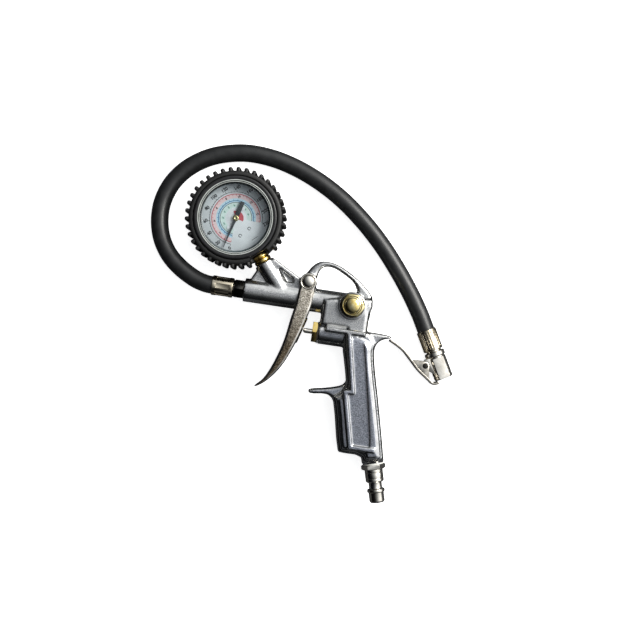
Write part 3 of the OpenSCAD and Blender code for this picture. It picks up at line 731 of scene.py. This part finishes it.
near_stem = [k for k in range(RIB_COUNT)
             if abs((math.tau * k / RIB_COUNT - STEM_TURN + math.pi) % math.tau - math.pi)
             < STEM_GAP]
boot = joined([boot, ring_of(rib, RIB_COUNT, near_stem)])
finish_edges(boot)
boot.name = "ribbed_boot"
settle(boot, stand)
dress(boot, boot_rubber, "gun", "boot_rubber", "gauge_boot")
print("ribs", RIB_COUNT - len(near_stem))

# %% [markdown]
# The brass stem shows two rounded lands with a groove between them. The window is held
# by a black ring. Its own moulded edge is two pale rings on a shaded slope: the rings are a
# painted highlight, light caught in the clear edge, and the slope's grey tint is painted shade.

# %% Stem, ring and window
stem = turned("stem_turned", [
    (4.6, 22.6), (4.6, 28.5), (5.5, 28.6), (6, 29.3), (6, 30.9), (5.6, 31.5), (5.1, 31.75),
    (5.6, 32), (6, 32.6), (6, 34.2), (5.5, 34.9), (4.6, 34.95), (4.6, 44.4)],
    Matrix.Identity(4), edge=0.2)
socket = block("stem_block", (6.8, 6.8, 11), (2.4, 0, 19.5), 0.4)
stem = settle(joined([stem, socket]), ALONG_STEM)
dress(stem, turned_brass, "gun", "brass_turned", "gauge_stem")

bezel = turned("bezel_ring", [
    (26.4, 24.1), (28, 24.1), (28, 27.5), (27.6, 28.2), (26.8, 28.4), (25.4, 28.2),
    (25.4, 27.5), (26.8, 27.3), (26.8, 24.9), (26.4, 24.9)], stand, sides=128, ring=True)
dress(bezel, case_enamel, "gun", "case_paint", "gauge_bezel")
bead_out = turned("window_rim", [
    (24.6, 27.6), (25.3, 27.6), (25.3, 28.6), (25.15, 28.9), (24.75, 28.9), (24.6, 28.6)],
    stand, sides=128, edge=0, ring=True)
bead_in = turned("window_bead", [
    (23.7, 27.6), (24.1, 27.6), (24.1, 28.3), (24.0, 28.4), (23.8, 28.4), (23.7, 28.3)],
    stand, sides=128, edge=0, ring=True)
slope = turned("window_slope", [
    (22.4, 27.45), (24.7, 27.5), (24.7, 27.9), (24.3, 28.0), (22.6, 27.75), (22.4, 27.6)],
    stand, sides=128, edge=0, ring=True)
# Painted highlight: the two pale rings are light caught in the window's clear edge.
dress(joined([bead_out, bead_in]), rim_highlight_plastic, "gun", "lens_plastic")
# Painted shade: the slope's grey tint darkens the edge of the dial under it.
dress(slope, slope_shade_plastic, "gun", "lens_plastic")
window_pane = turned("gauge_window", [(26.1, 25.4), (26.3, 26.6)] + dome(26.2, 0.5, 26.9),
                     stand, sides=128, edge=0)
dress(window_pane, lens_plastic, "gun", "lens_plastic", "gauge_lens")

# %% [markdown]
# ## Dial
# The dial is printed in several inks. Each ink is its own mesh, a film of a few
# hundredths of a millimetre, so the print is crisp at any distance. The scale is
# generic: it counts up in even steps clockwise and its marks are spaced by formula. Two
# finer scales inside it count in larger units. Arcs are spun from one short edge, and
# numbers are text that is made a mesh.

# %% Dial print helpers
DIAL_TOP = 19.4
FILM = 0.03
SCALE_START = math.radians(-93.5)
SCALE_SWEEP = math.radians(268)
SCALE_END = 220
DIAL_TILT = math.radians(42.5)


def scale_angle(value):
    """The direction of a scale value, clockwise from the scale's start."""
    return SCALE_START - SCALE_SWEEP * value / SCALE_END


def pick(piece, test):
    """Selects, in edit mode, only the vertices whose place passes a test."""
    edit(piece)
    bpy.ops.mesh.select_all(action="DESELECT")
    done()
    for vertex in piece.data.vertices:
        vertex.select = test(vertex.co)
    bpy.ops.object.mode_set(mode="EDIT")


def arc(name, inner, outer, first, last, layer=0):
    """A thin printed arc between two directions. Spin turns clockwise here, so its angle
    is negative for a counterclockwise arc."""
    bpy.ops.object.select_all(action="DESELECT")
    bpy.ops.mesh.primitive_plane_add(size=1)
    piece = bpy.context.object
    piece.name = name
    pick(piece, lambda co: co.y > 0)
    bpy.ops.mesh.delete(type="VERT")
    done()
    height = DIAL_TOP + FILM * layer
    for vertex, radius in zip(piece.data.vertices, (inner, outer)):
        vertex.co = Vector((radius, 0, height)) * MM
    edit(piece)
    steps = max(3, round(abs(last - first) / math.radians(3)))
    bpy.ops.mesh.spin(steps=steps, angle=first - last, center=(0, 0, 0), axis=(0, 0, 1))
    bpy.ops.mesh.select_all(action="SELECT")
    bpy.ops.mesh.extrude_region_move(TRANSFORM_OT_translate={"value": (0, 0, FILM * MM)})
    done()
    outward(piece)
    return settle(piece, Matrix.Rotation(first, 4, "Z"))


def tick(name, inner, outer, angle, width, layer=2):
    """A short printed line that points at the dial's centre."""
    line = block(name, (outer - inner, width, FILM),
                 ((inner + outer) / 2, 0, DIAL_TOP + FILM * (layer + 0.5)), 0)
    return settle(line, Matrix.Rotation(angle, 4, "Z"))


def number(name, text, radius, angle, size, layer=2):
    """A printed number at a radius and direction, upright on the tilted dial."""
    bpy.ops.object.select_all(action="DESELECT")
    bpy.ops.object.text_add()
    word = bpy.context.object
    word.name = name
    word.data.body = text
    word.data.size = size * MM
    word.data.align_x = "CENTER"
    word.data.align_y = "CENTER"
    word.data.resolution_u = 3
    word.data.offset = 0.11 * MM
    word.data.extrude = FILM / 2 * MM
    bpy.ops.object.convert(target="MESH")
    word = bpy.context.object
    spot = Vector((radius * math.cos(angle), radius * math.sin(angle),
                   DIAL_TOP + FILM * (layer + 0.5))) * MM
    return settle(word, Matrix.Translation(spot) @ Matrix.Rotation(DIAL_TILT, 4, "Z"))


def print_ink(name, parts, material):
    """Joins the parts of one ink, and lays the film on the dial."""
    film = joined(parts)
    film.name = name
    settle(film, stand)
    return dress(film, material, "gun", "dial_print")


print("dial helpers ready")

# %% Dial
MIDDLE_UNIT = 14.5
INNER_UNIT = 22
plate = turned("dial_plate", [(23.8, 18.8), (24, 18.9), (24, 19.3), (23.8, DIAL_TOP)],
               stand, sides=128, edge=0)
dress(plate, dial_white, "gun", "dial_print", "gauge_dial")
first, last = scale_angle(0), scale_angle(SCALE_END)
print_ink("dial_band_pink", [arc("pink", 13.5, 16.3, first, last)], ink_pink)
print_ink("dial_band_blue", [arc("pale", 11.0, 13.5, first, last)], ink_pale_blue)
print_ink("dial_band_green", [arc("mint", 7.2, 10.6, first, last)], ink_pale_green)
reds = [arc("red_line", 16.1, 16.6, first, last, 1)]
reds += [tick("red_mark", 15.3, 16.2, scale_angle(7.3 * k), 0.28) for k in range(31)]
print_ink("dial_red_scale", reds, ink_red)
blues = [arc("blue_line", 11.6, 12.1, first, last, 1)]
blues += [tick("blue_mark", 12.0, 12.8, scale_angle(11 * k), 0.3) for k in range(21)]
print_ink("dial_blue_scale", blues, ink_blue)

blacks = [arc("black_line", 17.6, 17.95, first, last), arc("dark_line", 10.55, 10.9, first, last, 1)]
blacks += [tick("mark", 17.8, 18.9 if k % 4 == 0 else 18.4, scale_angle(5 * k),
                0.32 if k % 4 == 0 else 0.2) for k in range(45)]
blacks += [number("label", str(v), 20.6, scale_angle(v), 3.1) for v in range(0, 221, 20)]
blacks += [number("label", str(v), 14.6, scale_angle(v * MIDDLE_UNIT), 2.0)
           for v in range(2, 15, 2)]
print_ink("dial_black_scale", blacks, ink_black)
greens = [number("label", str(v), 8.7, scale_angle(v * INNER_UNIT), 2.0) for v in range(1, 10)]
print_ink("dial_green_scale", greens, ink_green)
print_ink("dial_hub_patch", [arc("patch", 1.8, 5.2, math.radians(-17), math.radians(119))],
          ink_red)
MARKS = ((11.3, -29.5), (12.1, -68))  # each ring mark's distance and direction
rings = [settle(arc("spot", 0.75, 1.2, 0, math.tau * 0.9),
                Matrix.Translation(Vector((r * math.cos(math.radians(a)),
                                           r * math.sin(math.radians(a)), 0)) * MM))
         for r, a in MARKS]
rings.append(tick("underline", -2.4, 2.4, 0, 0.24))
settle(rings[-1], Matrix.Translation(Vector((14.5, -11.5, 0)) * MM)
       @ Matrix.Rotation(DIAL_TILT, 4, "Z"))
print_ink("dial_grey_marks", rings, ink_black)
print("dial printed, scale sweep", round(math.degrees(SCALE_SWEEP)), "degrees")

# %% [markdown]
# The pointer is a flat blade that narrows to its tip, with a counterweight behind the
# hub. The blade is a block whose far end is narrowed, and the weight is a second block.

# %% Pointer
POINTER_TURN = math.radians(255)
BLADE_LENGTH = 24
BLADE_END = 21.5
TIP_SHARE = 0.16
blade = block("pointer_blade", (BLADE_LENGTH, 2.2, 0.5), (BLADE_END - BLADE_LENGTH / 2, 0, 20.85),
              0)
pick(blade, lambda co: co.x > 0)
bpy.ops.transform.resize(value=(1, TIP_SHARE, 1), center_override=(BLADE_END * MM, 0, 0))
done()
weight = block("pointer_weight", (9.6, 2.9, 0.6), (-7.1, 0, 20.9), 0.15)
needle = joined([finish_edges(blade, 0.08), weight])
settle(needle, upright(GAUGE, POINTER_TURN))
needle.name = "dial_pointer"
dress(needle, pointer_enamel, "pointer", "pointer_paint", "pointer")
hub = turned("pointer_hub", [(1.9, 20.2), (2.1, 20.6), (2.1, 21.3), (1.6, 21.7), (0.8, 21.75),
                             (0.6, 21.5)], stand)
dress(hub, pale_brass, "pointer", "brass_turned")
print("pointer turned to", round(math.degrees(POINTER_TURN)), "degrees")

# %% [markdown]
# ## Hose ends
# At the barrel, a black-plated hexagon and a bright sleeve hold the hose. The sleeve is
# crimped: eight jaws have pressed flats into it. At the chuck, the sleeve has fine
# flutes. Both patterns are cut by one tool shape that is copied round the sleeve.

# %% Hose ends
FERRULE_R = 6.75
fitting_hex = hexed("front_hexagon", 12, -6.7, -0.1, ALONG_BARREL, chamfer=0.7,
                    turn=math.pi / 6)
fitting_neck = turned("front_neck", [(3.4, -21.9), (3.4, -7.6), (5.6, -7.5), (5.6, -6.6)],
                      ALONG_BARREL)
fitting_end = turned("front_thread", [(4.8, -0.3), (4.8, 8.2), (4.5, 8.5)], ALONG_BARREL)
dress(joined([fitting_hex, fitting_neck, fitting_end]), dark_plate, "gun", "bright_plate",
      "hose_fitting_front")


def sleeve(name, place, jaws, size, reach):
    """A hose sleeve with marks pressed or cut into it all round."""
    body = turned(name, [(6.05, 0), (6.55, 0), (FERRULE_R, 0.3), (FERRULE_R, 14.1),
                         (6.3, 14.5), (3.45, 14.5), (3.45, 13.6), (6.05, 13.5)],
                  Matrix.Identity(4), edge=0.1, ring=True)
    jaw = block(name + "_jaw", size, (FERRULE_R - reach + size[0] / 2, 0, 7.4), 0.25)
    boolean(body, ring_of(jaw, jaws), "DIFFERENCE")
    finish_edges(body, 0.08)
    return settle(body, place)


front_sleeve = sleeve("crimped_front_sleeve", lying(at(-22, 0), 0), 8, (1.5, 3.4, 9.2), 0.42)
dress(front_sleeve, warm_plate, "gun", "bright_plate", "ferrule_front")
rear_sleeve = sleeve("fluted_rear_sleeve", ALONG_CHUCK, 22, (1.2, 0.95, 11.2), 0.5)
dress(rear_sleeve, warm_plate, "gun", "bright_plate", "ferrule_rear")
print("sleeves", FERRULE_R * 2, "mm across")

# %% [markdown]
# ## Chuck
# The chuck clips onto a tyre valve. A stout collar and a barrel with a milled flat hold
# the seal, two ears carry the pin, and a lever of pressed sheet locks the chuck. The
# lever's web is a strip bent along a smooth line, and its two cheeks are cut plates.

# %% Flat plates
def cut_plate(name, outline, low, high, edge=0.2):
    """A plate cut to an outline: a polygon's corners are moved to it and it is extruded."""
    bpy.ops.object.select_all(action="DESELECT")
    bpy.ops.mesh.primitive_circle_add(vertices=len(outline), radius=MM, fill_type="NGON")
    piece = bpy.context.object
    piece.name = name
    for vertex, (x, y) in zip(piece.data.vertices, outline):
        vertex.co = Vector((x, y, low)) * MM
    edit(piece)
    bpy.ops.mesh.extrude_region_move(
        TRANSFORM_OT_translate={"value": (0, 0, (high - low) * MM)})
    done()
    return finish_edges(outward(piece), edge)


# %% Chuck
# In this frame +Z runs along the chuck, +X points to the lever and +Y points down.
CHUCK_TURN = Matrix((
    (-math.cos(CHUCK_LEAN), 0, math.sin(CHUCK_LEAN)),
    (-math.sin(CHUCK_LEAN), 0, -math.cos(CHUCK_LEAN)),
    (0, -1, 0)))
IN_CHUCK = Matrix.Translation(CHUCK) @ CHUCK_TURN.to_4x4()
# Outlines are drawn in X and Y, and SIDE_ON stands them up in the chuck's X and Z.
SIDE_ON = Matrix(((1, 0, 0, 0), (0, 0, -1, 0), (0, 1, 0, 0), (0, 0, 0, 1)))
LEVER_PIN = (9.3, 22.3)
EAR = [(3, 18.8), (7.4, 18.6), (10.9, 20.2), (11.6, 23), (9.9, 25.2), (5, 30.5), (3, 30.4)]

fitting_rear = turned("rear_fitting", [(3.4, 0.1), (3.4, 14.4), (5.2, 14.5), (5.2, 15.5),
                                       (4.4, 15.5), (4.4, 21.3)], ALONG_CHUCK)
dress(fitting_rear, nickel_plate, "gun", "bright_plate", "hose_fitting_rear")
barrel = turned("chuck_barrel", [
    (6.2, 15.5), (6.8, 15.9), (7, 16.4), (7, 18.5), (6.6, 19.1), (6.1, 19.2), (6.1, 19.7),
    (6.5, 19.9), (6.5, 31.6), (6.3, 31.8), (6.3, 32.2), (6.5, 32.4), (6.5, 34.2), (5.9, 35),
    (4.1, 35), (4.1, 26), (1.7, 26), (1.7, 23)], Matrix.Identity(4), edge=0.12)
milled = block("chuck_flat", (16, 4, 20), (0, -7.3, 30.1), 0.2)
settle(milled, Matrix.Rotation(math.radians(-6), 4, "Z"))
boolean(barrel, milled, "DIFFERENCE")
for side in (-3.2, 3.2):
    ear = cut_plate("ear", EAR, side - 1, side + 1)
    barrel = joined([barrel, settle(ear, SIDE_ON)])
finish_edges(barrel, 0.1)
barrel.name = "chuck_barrel"
settle(barrel, IN_CHUCK)
dress(barrel, nickel_plate, "gun", "bright_plate", "chuck_body")
pin = turned("lever_pin", [(1.6, -6.95), (2, -6.8), (2, -6.55), (1.5, -6.5), (1.5, 6.5), (2, 6.55),
                           (2, 6.8)] + dome(1.7, 0.12, 6.83, 3),
             IN_CHUCK @ Matrix.Translation(Vector((LEVER_PIN[0], 0, LEVER_PIN[1])) * MM)
             @ Matrix.Rotation(math.pi / 2, 4, "X"))
dress(pin, dark_plate, "gun", "bright_plate", "chuck_lever_pin")
print("chuck made")

# %% Lever
LEVER_LINE = [(25.7, -2.5), (19.9, 6.6), (17, 15.4), (14.5, 23.7), (10.5, 32.1), (8.6, 35.7),
              (4.7, 36.4)]
LEVER_HALF = 6.5
SHEET_T = 1.6
CHEEK = [(17.2, 15.6), (14.9, 24), (10.9, 32.2), (9.9, 31.6), (8.2, 26), (6.8, 23.4),
         (7.2, 20.8), (9.8, 18.8), (15.4, 15.9)]


def bent_strip(name, line, half, thickness):
    """A strip of sheet bent along a line, by its centreline, half width and thickness."""
    strip = line_curve(name, "2D", smooth_line([Vector((x, y, 0)) * MM for x, y in line]))
    strip.data.extrude = half * MM
    only(strip)
    bpy.ops.object.convert(target="MESH")
    strip = bpy.context.object
    outward(strip)
    wall = strip.modifiers.new("sheet", "SOLIDIFY")
    wall.thickness = thickness * MM
    wall.offset = 0
    bpy.ops.object.modifier_apply(modifier="sheet")
    return finish_edges(strip, 0.25, 2)


web = bent_strip("lever_web", LEVER_LINE, LEVER_HALF, SHEET_T)
cheeks = [cut_plate("lever_cheek", CHEEK, side - 0.6, side + 0.6) for side in (-5.85, 5.85)]
lever = joined([web] + cheeks)
lever.name = "pressed_lever"
settle(settle(lever, SIDE_ON), IN_CHUCK)
dress(lever, pressed_steel, "chuck_lever", "pressed_steel", "chuck_lever")
print("lever sheet", SHEET_T, "mm")

# %% [markdown]
# ## Air inlet
# The quick-coupler plug screws into the foot of the grip: a hexagon, a body with two
# fine grooves, a neck, a bead that the coupler's balls hold, and the nose.

# %% Air inlet
NOSE_R = 5.2
plug_hex = hexed("plug_hexagon", 14.4, 0.8, 4.2, ALONG_INLET, chamfer=0.6)
plug = turned("plug_turned", [
    (5, -9), (5, 4), (5.9, 4.1), (6.2, 4.4), (6.2, 6.2), (5.9, 6.4), (6.2, 6.6), (6.2, 10.2),
    (5.9, 10.4), (6.2, 10.6), (6.2, 12.2), (5.4, 13), (4.5, 13.1), (4.5, 17.2), (5.4, 17.6),
    (6, 18), (6, 19.5), (5.5, 19.9), (NOSE_R, 20), (NOSE_R, 25.9), (4.3, 27),
    (2.8, 27.05), (2.8, -6)], ALONG_INLET, edge=0.14)
plug = joined([plug_hex, plug])
plug.name = "inlet_quick_plug"
dress(plug, nickel_plate, "gun", "bright_plate", "inlet_plug")
print("inlet nose", NOSE_R * 2, "mm across")

# %% [markdown]
# ## The hose's finish
# The hose stands for its CAD tube, and the sleeve, the fitting and the chuck go with it.

# %% Hose finish
hose.data.materials.append(hose_rubber)
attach(hose, "gun")
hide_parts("hose")

# %% [markdown]
# ## CAD pieces that stay
# Springs, seals and the gauge's movement keep their exact CAD shape. Each takes the
# finish of its material slot in the record.

# %% Finishes of the CAD pieces
FINISH = {
    "bright_plate": nickel_plate, "brass_turned": turned_brass, "seal_rubber": seal_rubber,
    "fibre_washer": fibre_washer, "thread_seal": thread_tape, "case_paint": case_enamel,
    "spring_steel": spring_wire, "tube_bronze": phosphor_bronze, "pressed_steel": pressed_steel,
    "lens_plastic": lens_plastic, "dial_print": dial_white, "pointer_paint": pointer_enamel,
    "hose_rubber": hose_rubber, "boot_rubber": boot_rubber, "cast_body": cast_body_metal,
    "trigger_cast": cast_trigger_metal,
}
slot_of = {part["node"]: part["material_slot"] for part in frame["record"]["subparts"]}
for name, node in nodes.items():
    finish = FINISH[slot_of[name]]
    if name == "dial_screws":
        finish = dial_white  # the dial's enamel is sprayed over its screws
    if not node.material_slots:
        node.data.materials.append(finish)
    for place in node.material_slots:
        place.material = finish
print("CAD pieces dressed:", sum(not n.hide_render for n in nodes.values()))

# %% [markdown]
# ## Table and light
# The table is plain white. The light is a soft panel at the upper right and a sky that
# is bright to the right and dark to the left, so that rounded metal shows a bright side
# and a dark side. A second lamp straight above would mirror in every level face and
# wash it out, so there is none.

# %% Table
TABLE_SIZE = 6
TABLE_GLOW = 0.86
JUST_BELOW = -0.0002
bpy.ops.object.select_all(action="DESELECT")
bpy.ops.mesh.primitive_plane_add(size=TABLE_SIZE, location=(0, 0, JUST_BELOW))
table = bpy.context.object
table.name = "table"
table_top, tree, shader, where = blank("backlit_white_acrylic", Roughness=0.6,
                                       Emission_Strength=TABLE_GLOW)
shader.inputs["Emission Color"].default_value = colour("#ffffff")
tree.links.new(ramp(tree, grain(tree, where, 4), [(0.3, "#f4f4f4"), (0.7, "#fafafa")]),
               shader.inputs["Base Color"])
# The table looks white, yet the metal mirrors a dim one, as it does between black cards.
card = add(tree, "BsdfDiffuse", Color=colour("#4a4b4d"))
ray = add(tree, "LightPath")
sheet = add(tree, "MixShader", [(0, ray.outputs["Is Camera Ray"]), (1, card.outputs["BSDF"]),
                                (2, shader.outputs["BSDF"])])
output = next(n for n in tree.nodes if n.type == "OUTPUT_MATERIAL")
tree.links.new(sheet.outputs["Shader"], output.inputs["Surface"])
table.data.materials.append(table_top)


# %% Lights
def panel(name, place, aim, size, power, tint):
    """A soft square light panel that faces a point."""
    bpy.ops.object.select_all(action="DESELECT")
    bpy.ops.object.light_add(type="AREA", location=place)
    light = bpy.context.object
    light.name = name
    light.rotation_euler = (Vector(aim) - Vector(place)).to_track_quat("-Z", "Y").to_euler()
    light.data.size = size
    light.data.energy = power
    light.data.color = colour(tint)[:3]
    return light


key = panel("key_panel", place=(0.55, 0.42, 0.6), aim=(0, 0, 0), size=0.45, power=8,
            tint="#fffdf8")

# The camera sees a plain wall. The pieces mirror a sky that is bright towards one side
# and dims near the horizon.
BRIGHT_SIDE = Vector((0.72, 0.52, 0.46)).normalized()
world = bpy.data.worlds.new("studio")
bpy.context.scene.world = world
world.use_nodes = True
sky = world.node_tree
sky.nodes.clear()
towards = add(sky, "TexCoord")
lean = add(sky, "VectorMath", [(0, towards.outputs["Generated"])], operation="DOT_PRODUCT")
lean.inputs[1].default_value = BRIGHT_SIDE
span = add(sky, "MapRange", [("Value", lean.outputs["Value"])], From_Min=-1.0, From_Max=1.0)
height = add(sky, "SeparateXYZ", [(0, towards.outputs["Generated"])])
lift = add(sky, "MapRange", [("Value", height.outputs["Z"])], From_Min=0.0, From_Max=0.24,
           To_Min=0.55, To_Max=1.0)
shades = ramp(sky, combined(sky, "MULTIPLY", span.outputs["Result"], lift.outputs["Result"]), [
    (0.2, "#020203"), (0.45, "#17181a"), (0.66, "#686a6c"), (0.74, "#94979a"),
    (0.83, "#d6d8da"), (0.9, "#ffffff")])
glow = add(sky, "Background", [("Color", shades)], Strength=1.6)
wall = add(sky, "Background", Color=colour("#f6f6f6"), Strength=1.0)
seen = add(sky, "LightPath")
room = add(sky, "MixShader", [(0, seen.outputs["Is Camera Ray"]), (1, glow.outputs["Background"]),
                              (2, wall.outputs["Background"])])
add(sky, "OutputWorld", [("Surface", room.outputs["Shader"])])
bpy.context.scene.view_settings.view_transform = "Standard"
bpy.context.scene.view_settings.look = "None"
print("light panel at", [round(v, 2) for v in key.location])
